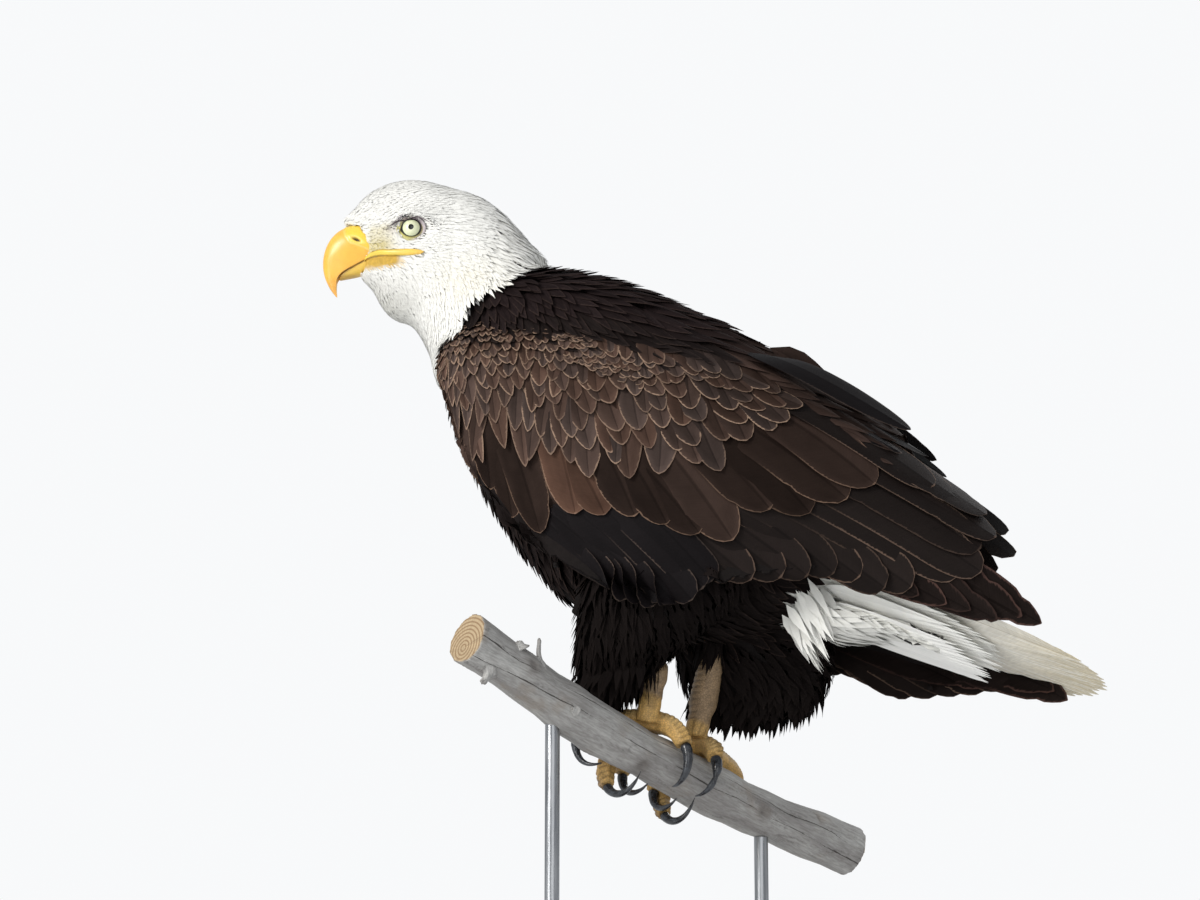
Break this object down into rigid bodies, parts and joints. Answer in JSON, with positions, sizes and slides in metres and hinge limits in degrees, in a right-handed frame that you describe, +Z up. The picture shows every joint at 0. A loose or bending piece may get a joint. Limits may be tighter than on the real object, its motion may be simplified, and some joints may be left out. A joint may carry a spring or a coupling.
{
  "type": "bald eagle",
  "caption": "Life-size adult bald eagle with folded wings, its head turned to its left, gripping a short sloping branch on a flat base with upright rods.",
  "frame": {"origin": "centre of the stand base's underside, on the surface that the stand rests on", "axes": "+Z up; the eagle faces -X with its tail towards +X, and its left side is towards -Y"},
  "size_m": [0.6737, 0.3931, 0.8757],
  "materials": {
    "white_plumage": "matt white feathers",
    "brown_plumage": "satin brown feathers with pale edges",
    "dark_plumage": "satin blackish brown feathers",
    "bill": "smooth satin horn",
    "eye": "wet and glossy",
    "foot_skin": "scaly, satin",
    "claw": "polished black horn",
    "weathered_wood": "bare, grey, cracked",
    "base_wood": "satin varnish",
    "rod_steel": "brushed"
  },
  "bodies": {
    "root": {"head": "white_plumage", "neck": "white_plumage", "trunk": "dark_plumage", "tail": "white_plumage", "undertail": "white_plumage", "bill_upper": "bill", "bill_lower": "bill", "eye_left": "eye", "wing_left": "brown_plumage", "wing_tip_left": "dark_plumage", "thigh_left": "dark_plumage", "shank_left": "foot_skin", "foot_left": "foot_skin", "claw_left_hind": "claw", "claw_left_inner": "claw", "claw_left_middle": "claw", "claw_left_outer": "claw", "eye_right": "eye", "wing_right": "brown_plumage", "wing_tip_right": "dark_plumage", "thigh_right": "dark_plumage", "shank_right": "foot_skin", "foot_right": "foot_skin", "claw_right_hind": "claw", "claw_right_inner": "claw", "claw_right_middle": "claw", "claw_right_outer": "claw", "perch": "weathered_wood", "stand_base": "base_wood", "stand_rod_front": "rod_steel", "stand_rod_back": "rod_steel"}
  },
  "joints": []
}
